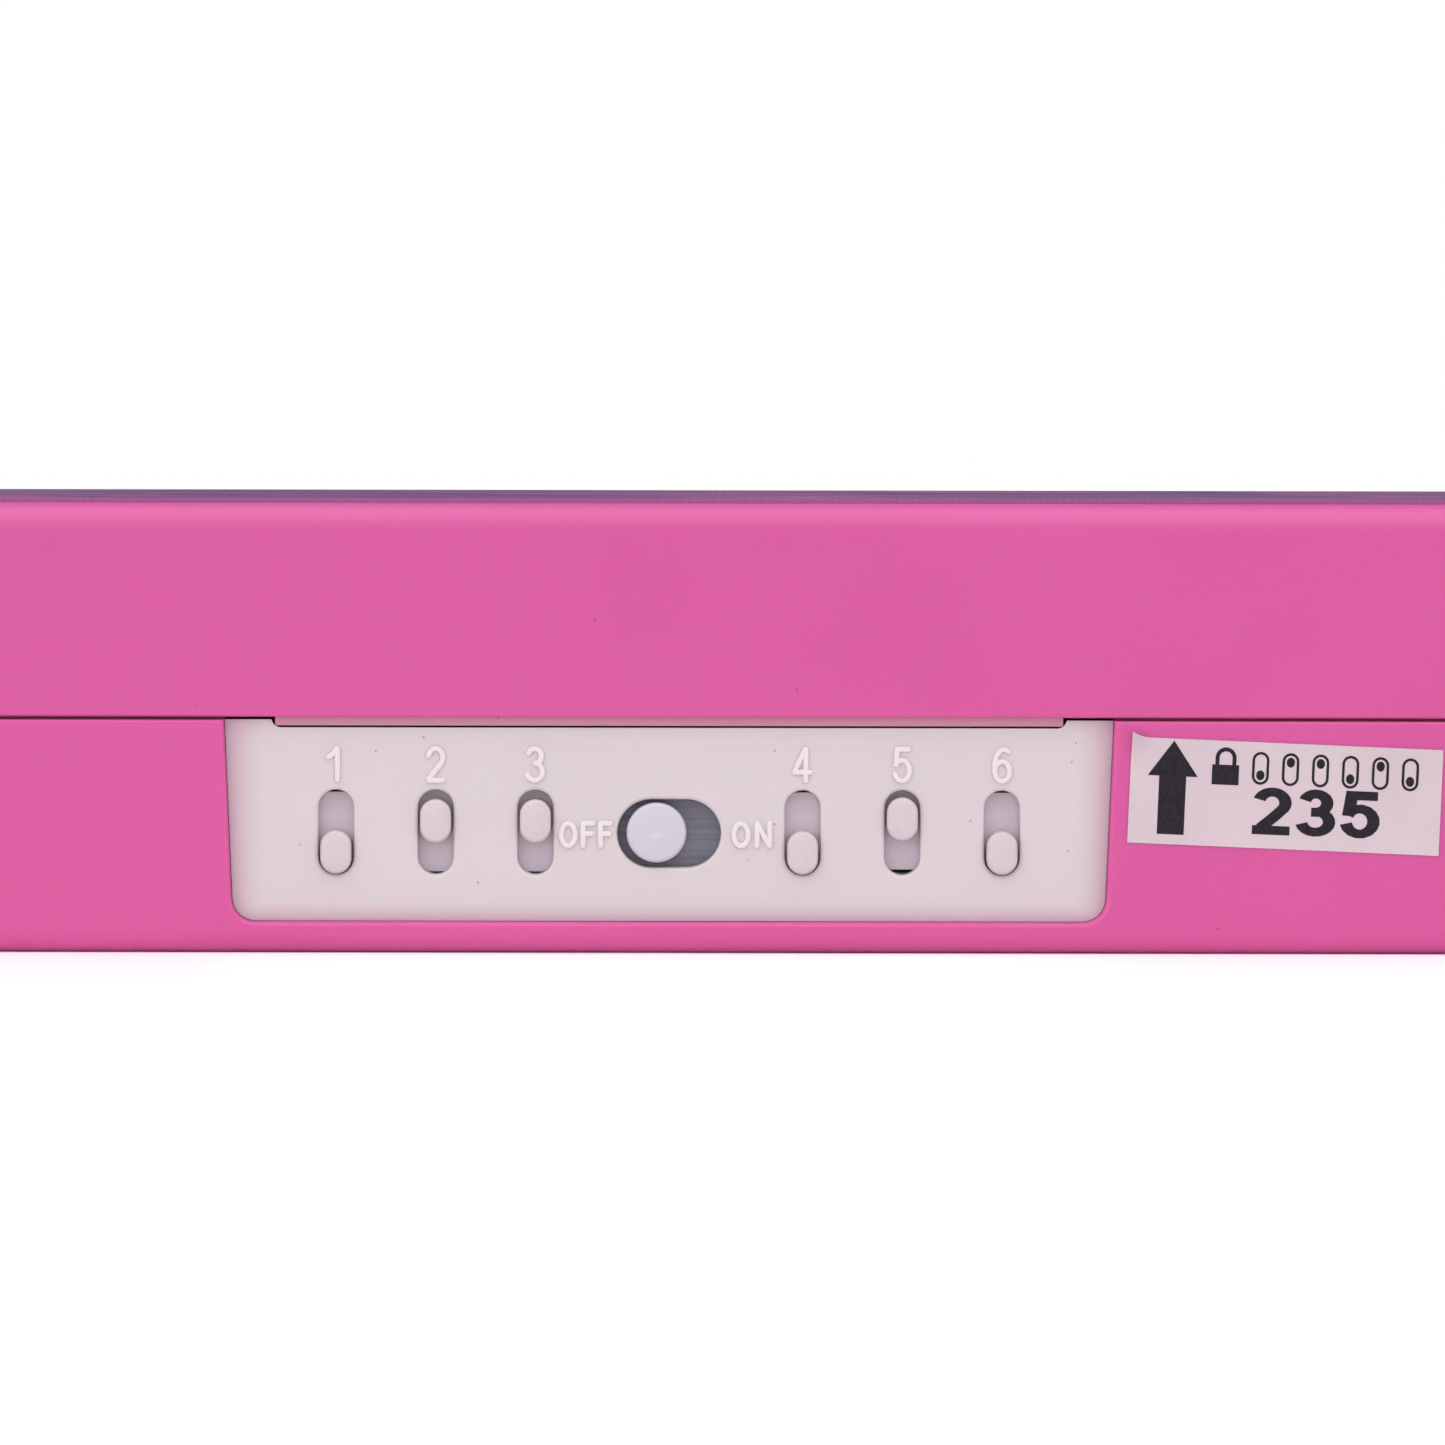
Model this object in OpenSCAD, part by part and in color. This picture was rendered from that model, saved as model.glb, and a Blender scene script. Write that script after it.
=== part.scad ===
// Lockable toy safe box: a hinged moulded case with a coin slot in its lid and a
// six-slider code lock in its front.
// +X is to the right as seen from the front, the front faces -Y and +Z is up.
// The origin is on the ground, under the middle of the whole outline.
// "Depth" below means distance inward from the case's front face.

/* [Case] */
// Width of the case
case_w = 210; // [170:1:240]
// Depth of the case, without its label and hinge barrels
case_d = 150; // [120:1:180]
// Radius of the case's upright corners
corner_r = 10; // [9:0.5:12]
// Height of the base up to the parting line
base_h = 23.4; // [23.2:0.1:25]
// Height of the lid above the parting line
lid_h = 21.4; // [20:0.2:30]
// Gap between the base and the lid when closed
part_gap = 0.3; // [0.2:0.05:0.4]
// Thickness of the base's wall
base_wall = 2.4; // [2.2:0.1:2.6]
// Thickness of the lid's wall
lid_wall = 2.0; // [1.8:0.1:2.1]
// Radius of the round along the base's bottom edge
foot_round = 2.0; // [1:0.1:2.2]
// Radius of the round along the lid's top edge
lid_round = 2.5; // [1.5:0.1:3]

/* [Cover sheet and coin slot] */
// Thickness of the printed sheet on the lid
sheet_t = 0.5; // [0.3:0.1:0.8]
// Margin of bare plastic round the sheet
sheet_margin = 3.0; // [2.8:0.1:5]
// Length of the coin slot
coin_l = 38; // [32:1:50]
// Width of the coin slot
coin_w = 4.8; // [4.6:0.1:6]

/* [Code lock] */
// Spacing of the sliders in each group of three
slider_pitch = 10; // [9.8:0.1:10.4]
// Distance of the inner sliders from the lock's middle
inner_x = 13.4; // [13.4:0.1:14]
// Travel of a slider
slider_travel = 3.4; // [3.2:0.1:3.6]
// Height of a knob's middle when its slider is down
knob_down_z = 10.1; // [10:0.1:10.3]
// Travel of the latch button
latch_travel = 2.5; // [2.3:0.1:2.6]
// Height of the latch button's middle
latch_z = 12.1; // [12:0.05:12.2]
// Diameter of the latch button
button_d = 6.0; // [5:0.1:6.4]
// How far the lock's face is recessed in the case
face_recess = 1.2; // [1:0.1:1.5]

/* [Hinges] */
// Distance of each hinge's middle from the case's middle
hinge_x = 62; // [50:1:68]
// Radius of a hinge barrel
barrel_r = 2.6; // [2.4:0.1:2.7]
// Radius of a hinge pin
pin_r = 1.0; // [0.8:0.1:1.2]

/* [Hidden] */
$fn = 48;

pink = [0.86, 0.36, 0.62];
white = [0.88, 0.84, 0.85];
cool_white = [0.84, 0.84, 0.88];
purple = [0.60, 0.39, 0.59];
slate = [0.33, 0.32, 0.37];
paper = [0.92, 0.86, 0.89];
steel = [0.72, 0.72, 0.74];

// Code the lock is set to: true is a slider that stands up
code_up = [false, true, true, false, true, false];
// How far each slider stops short of the end of its travel
short_stop = [0, 0.25, 0.25, 0, 0, 0];

label_w = 31.2;
label_h = 10.6;
label_t = 0.1;
label_x = 61.7;
label_z = 15.9;
label_tilt = 2.4;

// Depth layout: hinge axis behind the rear face, then the whole outline centred on the origin
axis_back = 3.0;
outline_d = label_t + case_d + axis_back + barrel_r;
front_y = label_t - outline_d / 2;
rear_y = front_y + case_d;
case_y = front_y + case_d / 2;
axis_y = rear_y + axis_back;
lid_z = base_h + part_gap;
axis_z = base_h + part_gap / 2;
top_z = lid_z + lid_h;

// Base section
edge_round = 0.3;
opening_round = 0.4;
floor_under = 0.6;
floor_top = 2.8;
foot_rim = 6.0;
inner_bevel = 0.8;
lip_gap = 0.25;
lip_out = lid_wall + lip_gap;
lip_in = lip_out + 1.3;
lip_h = 2.0;
lip_bevel = 0.3;
lip_root = 3.2;

// Lock opening in the base's front wall
open_half_top = 44.6;
open_half_foot = 43.75;
open_z = 3.15;
open_r = 2.4;
face_gap = 0.05;
notch_half = 39.9;
notch_drop = 0.8;
notch_r = 1.0;
corner_flats = 10;

// Depths of the lock's layers
face_t = 2.0;
face_back = face_recess + face_t;
flange_half = 46.9;
flange_room = 0.3;
slide_gap = 0.1;
plate_front = face_back + slide_gap;
plate_back = plate_front + 1.7;
bar_front = plate_back + 0.2;
bar_back = bar_front + 2.0;
cover_front = bar_back + 0.2;
cover_back = cover_front + 1.6;

// Sliders
slider_x = [for (side = [-1, 1], k = [0 : 2]) side * inner_x + (side < 0 ? k - 2 : k) * slider_pitch];
knob_w = 3.1;
knob_h = 4.35;
knob_proud = 1.0;
knob_round = 0.45;
knob_dome_r = 6;
slot_w = 3.55;
slot_h = 8.5;
slot_z = 12.1;
plate_half = 3.5;
plate_below = 5.2;
plate_above = 5.95;
pocket_half = 2.5;
pocket_low = -2.3;
pocket_high = 2.9;
pocket_t = 1.2;
rib_half = 0.45;
gate_half = 1.0;
side_gap = 0.3;

// Latch
bar_low = 8.2;
bar_high = 15.8;
bar_half = 37.5;
boss_half = 7.1;
finger_w = 1.0;
finger_h = 1.2;
button_slot_w = 10.4;
button_slot_h = 6.85;
button_slot_z = 12.0;
stem_r = 1.25;
latch_rest = -latch_travel / 2;

// Hooks on the latch bar and feet on the strike plate, placed from each strike's post
strike_x = [-28, 28];
strike_post_w = 2.4;
foot_l = 2.6;
foot_low = 16.5;
foot_t = 1.5;
hook_gap = 0.4;
hook_post_w = 2.0;
hook_lug = 2.4;
hook_t = 2.0;
hook_front = bar_front + 0.2;
hook_back = bar_back - 0.2;

// Rails on the back of the lock's face
rail_low = 3.0;
rail_foot_top = 4.6;
rail_top = 20.2;
rail_w = 2.4;
inner_rail_w = 0.9;
mouth_round = 0.3;
foot_rail_back = 5.1;
comb_t = 0.3;

// Back cover and its screws
cover_half = 42;
cover_side_t = 1.4;
cover_top = 22.4;
cover_foot = 2.9;
roof_t = 1.4;
ear_x = 50;
ear_z = [7, 17];
ear_half_h = 2.6;
ear_reach = 53;
boss_r = 2.5;
pilot_r = 1.0;
clear_r = 1.15;
screw_r = 0.98;
head_r = 2.0;
head_t = 1.3;
head_round = 0.6;
head_dome_r = 5;
thread_l = 5.2;

// Strike plate inside the lid
strike_half = 39.5;
strike_front = lid_wall + 0.2;
strike_lip = 1.3;
strike_t = 1.2;
strike_low = 22.8;
shelf_z = 24.4;
shelf_t = 1.5;
shelf_back = 15.5;
strike_screw_x = [-30, 0, 30];
strike_screw_depth = 12;
lid_boss_r = 2.8;

// Coin slot frame
frame_w = 1.8;
chute_h = 3.0;

// Hinges
knuckles = 5;
knuckle_w = 7.2;
knuckle_gap = 0.3;
knuckle_step = knuckle_w + knuckle_gap;
base_bore_r = pin_r + 0.02;
lid_bore_r = pin_r + 0.06;
pin_head_r = 1.7;
pin_head_t = 0.7;

skin = 1;

// ---------- shared shapes ----------

// A point on a circle
function on_circle(c, r, angle) = [c[0] + r * cos(angle), c[1] + r * sin(angle)];

// Quarter of a disc, in the quadrant that starts at the given turn
module quarter_disc(r, turn) {
    rotate(turn) intersection() {
        circle(r = r);
        square(r);
    }
}

// Rounded rectangle centred on the origin
module rounded_rect(w, d, r) {
    square([w - 2 * r, d], center = true);
    for (side = [-1, 1]) translate([side * (w - r) / 2, 0]) square([r, d - 2 * r], center = true);
    for (quarter = [0 : 3]) {
        sx = (quarter == 0 || quarter == 3) ? 1 : -1;
        sy = quarter < 2 ? 1 : -1;
        translate([sx * (w / 2 - r), sy * (d / 2 - r)]) quarter_disc(r, 90 * quarter);
    }
}

// Slot with round ends, w wide and h long, long side along Y
module round_slot(w, h) {
    straight = h - w;
    square([w, straight], center = true);
    for (end = [-1, 1]) translate([0, end * straight / 2]) intersection() {
        circle(d = w);
        translate([-w / 2, end < 0 ? -w / 2 : 0]) square([w, w / 2]);
    }
}

// Revolves and extrudes a half-section round the spine of an upright slot shape, w wide and h high.
// The section's X is the distance from the spine, and its Y runs forward from the plane Y = 0.
module round_spine(w, h) {
    straight = h - w;
    translate([0, 0, -straight / 2]) for (m = [0, 1]) mirror([m, 0, 0]) mirror([0, 1, 0])
        linear_extrude(height = straight) children();
    for (end = [0, 1]) translate([0, 0, (end - 0.5) * straight]) rotate([90, 0, 0]) rotate(180 * (1 - end))
        rotate_extrude(angle = 180) children();
}

// Half-section of a stud with a rounded rim and a domed end
module stud_section(half, length, rim, dome_r) {
    flat = half - rim;
    dome_h = dome_r - sqrt(dome_r * dome_r - flat * flat);
    shoulder = length - dome_h;
    polygon([[0, 0], [half, 0], [half, shoulder - rim], [flat, shoulder - rim], [flat, shoulder],
             [0, shoulder]]);
    translate([flat, shoulder - rim]) quarter_disc(rim, 0);
    intersection() {
        translate([0, length - dome_r]) circle(r = dome_r);
        translate([0, shoulder]) square([half, length]);
    }
}

// Sweeps a wall section round a rounded rectangle: the section's X runs inward from the outer face
module swept_wall(w, d, r) {
    for (turn = [0, 180]) rotate(turn) {
        translate([r - w / 2, -d / 2, 0]) rotate([90, 0, 90]) linear_extrude(height = w - 2 * r) children();
        rotate(90) translate([r - d / 2, -w / 2, 0]) rotate([90, 0, 90])
            linear_extrude(height = d - 2 * r) children();
        for (side = [-1, 1]) translate([side * (w / 2 - r), r - d / 2, 0]) rotate(side > 0 ? -90 : 180)
            rotate_extrude(angle = 90) translate([r, 0]) mirror([1, 0]) children();
    }
}

// Stands a drawing in X and Z upright, from one depth behind the front face to another
module front_layer(depth_from, depth_to) {
    translate([0, front_y + depth_to, 0]) rotate([90, 0, 0])
        linear_extrude(height = depth_to - depth_from) children();
}

// A block given by its X, depth and Z ranges
module block(x, depth, z) {
    translate([x[0], front_y + depth[0], z[0]]) cube([x[1] - x[0], depth[1] - depth[0], z[1] - z[0]]);
}

// A round bar that runs straight back from one depth to another
module depth_rod(x, z, r, depth_from, depth_to) {
    translate([x, front_y + depth_from, z]) rotate([-90, 0, 0]) cylinder(r = r, h = depth_to - depth_from);
}

// ---------- case ----------

module base_section() {
    polygon([[foot_round, 0], [foot_rim, 0], [foot_rim, floor_under], [corner_r, floor_under],
             [corner_r, floor_top], [base_wall + inner_bevel, floor_top],
             [base_wall, floor_top + inner_bevel], [base_wall, base_h - lip_root - lip_in + base_wall],
             [lip_in, base_h - lip_root],
             [lip_in, base_h + lip_h - lip_bevel], [lip_in - lip_bevel, base_h + lip_h],
             [lip_out + lip_bevel, base_h + lip_h], [lip_out, base_h + lip_h - lip_bevel], [lip_out, base_h],
             [edge_round, base_h], [edge_round, base_h - edge_round], [0, base_h - edge_round],
             [0, foot_round], [foot_round, foot_round]]);
    translate([foot_round, foot_round]) quarter_disc(foot_round, 180);
    translate([edge_round, base_h - edge_round]) quarter_disc(edge_round, 90);
}

module lid_section() {
    inner_top = lid_h - lid_wall;
    bevel = 1.2;
    polygon([[edge_round, 0], [lid_wall, 0], [lid_wall, inner_top - bevel], [lid_wall + bevel, inner_top],
             [corner_r, inner_top], [corner_r, lid_h], [lid_round, lid_h], [lid_round, lid_h - lid_round],
             [0, lid_h - lid_round], [0, edge_round], [edge_round, edge_round]]);
    translate([lid_round, lid_h - lid_round]) quarter_disc(lid_round, 90);
    translate([edge_round, edge_round]) quarter_disc(edge_round, 180);
}

// The sides of a U-shaped outline lean outward by this angle, and its corners have these middles
function u_lean(half_top, half_foot, height) = atan((half_top - half_foot) / height);
function u_centre(half_foot, foot_z, r, lean) = [half_foot - r * (1 - sin(lean)) / cos(lean), foot_z + r];

// U-shaped outline with leaning sides and rounded lower corners, open upward
module u_outline(half_top, half_foot, foot_z, top_z, r) {
    lean = u_lean(half_top, half_foot, top_z - foot_z);
    centre = u_centre(half_foot, foot_z, r, lean);
    corner = [for (i = [0 : corner_flats]) on_circle(centre, r, -90 + (90 - lean) * i / corner_flats)];
    right = concat(corner, [[half_top, top_z]]);
    left = [for (i = [len(right) - 1 : -1 : 0]) [-right[i][0], right[i][1]]];
    polygon(concat(right, left));
}

// Half-width of the lock opening at a height, along its leaning side
function open_half(z) = open_half_foot + (open_half_top - open_half_foot) * (z - open_z) / (base_h - open_z);

// The lock opening's outline, grown outward by a small step
module open_outline(grow) {
    top = base_h + lip_h + skin;
    u_outline(open_half(top) + grow, open_half_foot + grow, open_z - grow, top, open_r + grow);
}

// Rounds the opening's front edge in two flats that cross: each end is [depth, how far outside]
module soften_opening() {
    leaf = 0.002;
    mid = opening_round * (1 - cos(45));
    slope = (opening_round - mid) / mid;
    beyond = 0.2;
    far = opening_round + beyond * slope;
    past = 0.05;
    flats = [[[-beyond, far], [mid + past, mid - past * slope]],
             [[mid - past, mid + past / slope], [far, -beyond]]];
    for (ends = flats) hull() {
        front_layer(ends[0][0], ends[0][0] + leaf) open_outline(ends[0][1]);
        front_layer(ends[1][0] - leaf, ends[1][0]) open_outline(ends[1][1]);
    }
}

module knuckle_section(up) {
    circle(r = barrel_r);
    polygon([[-axis_back - 0.2, up * part_gap / 2], [0, up * part_gap / 2], [1.2, up * 2.0],
             [-axis_back - 0.2, up * 6.4]]);
}

// The hinge knuckles of one part, at both hinges: first is 0 for the base and 1 for the lid
module knuckles_of(first, up) {
    for (side = [-1, 1], k = [first : 2 : knuckles - 1])
        translate([side * hinge_x + (k - (knuckles - 1) / 2) * knuckle_step - knuckle_w / 2, axis_y, axis_z])
            rotate([90, 0, 90]) linear_extrude(height = knuckle_w) knuckle_section(up);
}

module hinge_bores(r) {
    reach = knuckles * knuckle_step;
    for (side = [-1, 1]) translate([side * hinge_x - reach / 2, axis_y, axis_z]) rotate([0, 90, 0])
        cylinder(r = r, h = reach);
}

module base_shell() {
    top = base_h + lip_h;
    color(pink) difference() {
        union() {
            translate([0, case_y, 0]) swept_wall(case_w, case_d, corner_r) base_section();
            translate([corner_r - case_w / 2, case_y - case_d / 2 + corner_r, floor_under])
                cube([case_w - 2 * corner_r, case_d - 2 * corner_r, floor_top - floor_under]);
            for (side = [-1, 1], z = ear_z) depth_rod(side * ear_x, z, boss_r, base_wall - 0.2, cover_front);
            knuckles_of(0, -1);
        }
        front_layer(-skin, base_wall) open_outline(0);
        soften_opening();
        block([-flange_half - flange_room, flange_half + flange_room], [base_wall, lip_in + skin],
              [floor_top, top + skin]);
        for (side = [-1, 1], z = ear_z)
            depth_rod(side * ear_x, z, pilot_r, cover_front - thread_l, cover_front + skin);
        hinge_bores(base_bore_r);
    }
}

module lid_shell() {
    inner_z = top_z - lid_wall;
    boss_z = shelf_z + shelf_t;
    color(pink) difference() {
        union() {
            translate([0, case_y, lid_z]) swept_wall(case_w, case_d, corner_r) lid_section();
            translate([corner_r - case_w / 2, case_y - case_d / 2 + corner_r, inner_z])
                cube([case_w - 2 * corner_r, case_d - 2 * corner_r, lid_wall]);
            translate([0, case_y, inner_z - chute_h]) rotate(90)
                linear_extrude(height = chute_h + lid_wall + sheet_t)
                    round_slot(coin_w + 2 * frame_w, coin_l + 2 * frame_w);
            for (x = strike_screw_x) translate([x, front_y + strike_screw_depth, boss_z])
                cylinder(r = lid_boss_r, h = inner_z - boss_z + 0.2);
            knuckles_of(1, 1);
        }
        translate([0, case_y, inner_z - chute_h - skin]) rotate(90)
            linear_extrude(height = chute_h + lid_wall + sheet_t + 2 * skin) round_slot(coin_w, coin_l);
        for (x = strike_screw_x) translate([x, front_y + strike_screw_depth, boss_z - skin])
            cylinder(r = pilot_r, h = thread_l + skin);
        hinge_bores(lid_bore_r);
    }
}

module cover_sheet() {
    frame_gap = 0.1;
    color(purple) translate([0, case_y, top_z]) linear_extrude(height = sheet_t) difference() {
        rounded_rect(case_w - 2 * sheet_margin, case_d - 2 * sheet_margin, corner_r - sheet_margin);
        rotate(90) round_slot(coin_w + 2 * (frame_w + frame_gap), coin_l + 2 * (frame_w + frame_gap));
    }
}

module code_label() {
    color(paper) translate([label_x, front_y - label_t, label_z]) rotate([0, label_tilt, 0])
        translate([-label_w / 2, 0, -label_h / 2]) cube([label_w, label_t, label_h]);
}

// ---------- lock ----------

// Half-section of the cutter that rounds a slot's mouth with two flats
module mouth_cutter(half) {
    mid = mouth_round * (1 - cos(45));
    polygon([[0, skin], [half + mouth_round, skin], [half + mouth_round, 0], [half + mid, -mid],
             [half, -mouth_round], [0, -mouth_round]]);
}

module lock_face() {
    notch_z = base_h - notch_drop;
    face_y = front_y + face_recess;
    color(white) difference() {
        union() {
            front_layer(face_recess, base_wall) u_outline(open_half_top - face_gap, open_half_foot - face_gap,
                                                          open_z + face_gap, base_h, open_r - face_gap);
            block([-flange_half, flange_half], [base_wall, face_back], [cover_foot, notch_z]);
            for (x = rail_ranges) block(x, [face_back, plate_back], [rail_low, rail_top]);
            block([slider_x[0] - plate_half, slider_x[5] + plate_half], [face_back, foot_rail_back],
                  [rail_low, rail_foot_top]);
        }
        front_layer(face_recess - skin, base_wall)
            u_outline(notch_half, notch_half, notch_z, base_h + skin, notch_r);
        for (x = slider_x) {
            front_layer(face_recess - skin, face_back) translate([x, slot_z]) round_slot(slot_w, slot_h);
            translate([x, face_y, slot_z]) round_spine(slot_w, slot_h) mouth_cutter(slot_w / 2);
        }
        front_layer(face_recess - skin, face_back) translate([0, button_slot_z]) rotate(90)
            round_slot(button_slot_h, button_slot_w);
        translate([0, face_y, button_slot_z]) rotate([0, 90, 0]) round_spine(button_slot_h, button_slot_w)
            mouth_cutter(button_slot_h / 2);
    }
}

// X ranges of the rails that guide the sliders: between them, inside and outside each group
plate_room = plate_half + side_gap;
function both_sides(from, to) = [[from, to], [-to, -from]];
outer_rail = inner_x + 2 * slider_pitch + plate_room;
inner_rail = inner_x - plate_room;
rail_ranges = concat(
    both_sides(inner_rail - inner_rail_w, inner_rail),
    both_sides(inner_x + plate_room, inner_x + slider_pitch - plate_room),
    both_sides(inner_x + slider_pitch + plate_room, inner_x + 2 * slider_pitch - plate_room),
    both_sides(outer_rail, outer_rail + rail_w));

function knob_z(i) = knob_down_z + (code_up[i] ? slider_travel - short_stop[i] : 0);

// Height of the gate in a slider's rib above its knob: it meets the latch's finger when the code is right
function gate_rise(i) = latch_z - knob_down_z - (code_up[i] ? slider_travel - short_stop[i] / 2 : 0);

module code_slider(i) {
    z = knob_z(i);
    x = slider_x[i];
    color(white) difference() {
        union() {
            block([x - plate_half, x + plate_half], [plate_front, plate_back],
                  [z - plate_below, z + plate_above]);
            translate([x, front_y + plate_front, z]) round_spine(knob_w, knob_h)
                stud_section(knob_w / 2, plate_front - face_recess + knob_proud, knob_round, knob_dome_r);
        }
        for (pocket = [[-pocket_half, -rib_half], [rib_half, pocket_half]])
            block([x + pocket[0], x + pocket[1]], [plate_back - pocket_t, plate_back + skin],
                  [z + pocket_low, z + pocket_high]);
        block([x - rib_half - 0.1, x + rib_half + 0.1], [plate_back - pocket_t, plate_back + skin],
              [z + gate_rise(i) - gate_half, z + gate_rise(i) + gate_half]);
    }
}

module latch_bar() {
    finger_reach = pocket_t - 0.25;
    color(slate) difference() {
        translate([latch_rest, 0, 0]) union() {
            block([-bar_half, bar_half], [bar_front, bar_back], [bar_low, bar_high]);
            block([-boss_half, boss_half], [plate_front + slide_gap, bar_front], [bar_low, bar_high]);
            for (x = slider_x)
                block([x - finger_w / 2, x + finger_w / 2], [plate_back - finger_reach, bar_front],
                      [latch_z - finger_h / 2, latch_z + finger_h / 2]);
        }
        depth_rod(latch_rest, latch_z, stem_r, 0, bar_back + skin);
    }
    color(slate) for (x = strike_x) latch_hook(x - foot_l - hook_gap);
}

// One hook of the latch bar, given the X of its lug's tip
module latch_hook(tip) {
    lug_x = tip - hook_lug;
    lug_low = foot_low + foot_t + hook_gap;
    block([lug_x - hook_post_w, lug_x], [hook_front, hook_back], [bar_high, lug_low + hook_t]);
    block([lug_x, tip], [hook_front, hook_back], [lug_low, lug_low + hook_t]);
}

module latch_button() {
    proud = 0.8;
    rim = 0.45;
    dome_r = 20;
    foot = plate_front + slide_gap;
    color(cool_white) {
        translate([latch_rest, front_y + foot, latch_z]) rotate([90, 0, 0])
            rotate_extrude() stud_section(button_d / 2, foot - face_recess + proud, rim, dome_r);
        depth_rod(latch_rest, latch_z, stem_r - 0.02, foot, bar_back);
    }
}

module detent_comb() {
    tine_w = 2.4;
    tine_top = 7.9;
    bend = 0.06;
    bend_low = 7.0;
    bend_high = 7.5;
    back = foot_rail_back + comb_t;
    color(steel) {
        block([slider_x[0] - plate_half, slider_x[5] + plate_half], [foot_rail_back, back],
              [rail_low + 0.2, rail_foot_top]);
        for (x = slider_x) {
            block([x - tine_w / 2, x + tine_w / 2], [foot_rail_back, back], [rail_foot_top, tine_top]);
            block([x - tine_w / 2, x + tine_w / 2], [foot_rail_back - bend, foot_rail_back],
                  [bend_low, bend_high]);
        }
    }
}

module lock_back_cover() {
    window_side = 0.5;
    ledge_top = 4.5;
    guide_x = [-15, 0, 15];
    guide_w = 3;
    guide_front = bar_front + 0.4;
    roof_z = cover_top - roof_t;
    color(white) difference() {
        union() {
            block([-cover_half, cover_half], [cover_front, cover_back], [cover_foot, cover_top]);
            for (x = both_sides(cover_half - cover_side_t, cover_half))
                block(x, [face_back, cover_front], [cover_foot, cover_top]);
            for (x = both_sides(cover_half, ear_reach), z = ear_z)
                block(x, [cover_front, cover_back], [z - ear_half_h, z + ear_half_h]);
            block([-cover_half, cover_half], [face_back, cover_front], [roof_z, cover_top]);
            block([-cover_half, cover_half], [foot_rail_back + comb_t, cover_front], [cover_foot, ledge_top]);
            for (x = guide_x) {
                width = [x - guide_w / 2, x + guide_w / 2];
                block(width, [guide_front, cover_front], [ledge_top, bar_low - side_gap]);
                block(width, [guide_front, cover_front], [bar_high + side_gap, roof_z]);
            }
        }
        for (x = strike_x) block([x - foot_l - window_side, x + strike_post_w + window_side],
                                 [hook_front - window_side, cover_front], [roof_z - skin, cover_top + skin]);
        for (side = [-1, 1], z = ear_z)
            depth_rod(side * ear_x, z, clear_r, cover_front - skin, cover_back + skin);
    }
}

// Pan-head screw with a cross recess: the head stands on Z = 0 and the shank points down
module pan_screw(shank_l) {
    recess_w = 0.7;
    recess_l = 2.4;
    recess_t = 0.8;
    difference() {
        union() {
            rotate_extrude() stud_section(head_r, head_t, head_round, head_dome_r);
            translate([0, 0, -shank_l]) cylinder(r = screw_r, h = shank_l);
        }
        for (turn = [0, 90]) rotate(turn) translate([-recess_l / 2, -recess_w / 2, head_t - recess_t])
            cube([recess_l, recess_w, recess_t + skin]);
    }
}

module lock_cover_screws() {
    color(steel) for (side = [-1, 1], z = ear_z) translate([side * ear_x, front_y + cover_back, z])
        rotate([-90, 0, 0]) pan_screw(cover_back - cover_front + thread_l - 0.4);
}

module strike_plate() {
    color(white) difference() {
        union() {
            block([-strike_half, strike_half], [strike_front, shelf_back], [shelf_z, shelf_z + shelf_t]);
            block([-strike_half, strike_half], [strike_front, strike_front + strike_t],
                  [strike_low, shelf_z]);
            block([-strike_half, strike_half], [strike_lip, strike_front], [strike_low, lid_z]);
            for (x = strike_x) {
                block([x, x + strike_post_w], [hook_front, hook_back], [foot_low, shelf_z]);
                block([x - foot_l, x], [hook_front, hook_back], [foot_low, foot_low + foot_t]);
            }
        }
        for (x = strike_screw_x) translate([x, front_y + strike_screw_depth, shelf_z - skin])
            cylinder(r = clear_r, h = shelf_t + 2 * skin);
    }
}

module strike_screws() {
    color(steel) for (x = strike_screw_x) translate([x, front_y + strike_screw_depth, shelf_z])
        rotate([180, 0, 0]) pan_screw(shelf_t + thread_l - 0.4);
}

// ---------- hinges ----------

// Hinge pin with a head at its outer end; side is -1 for the left hinge and 1 for the right
module hinge_pin(side) {
    length = knuckles * knuckle_step - knuckle_gap;
    color(steel) translate([side * hinge_x, axis_y, axis_z]) rotate([0, side * 90, 0]) {
        translate([0, 0, -length / 2]) cylinder(r = pin_r, h = length);
        translate([0, 0, length / 2]) cylinder(r = pin_head_r, h = pin_head_t);
    }
}

base_shell();
lid_shell();
cover_sheet();
code_label();
lock_face();
for (i = [0 : 5]) code_slider(i);
latch_bar();
latch_button();
detent_comb();
lock_back_cover();
lock_cover_screws();
strike_plate();
strike_screws();
hinge_pin(-1);  // hinge_pin_left
hinge_pin(1);  // hinge_pin_right
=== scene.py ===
import math

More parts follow.
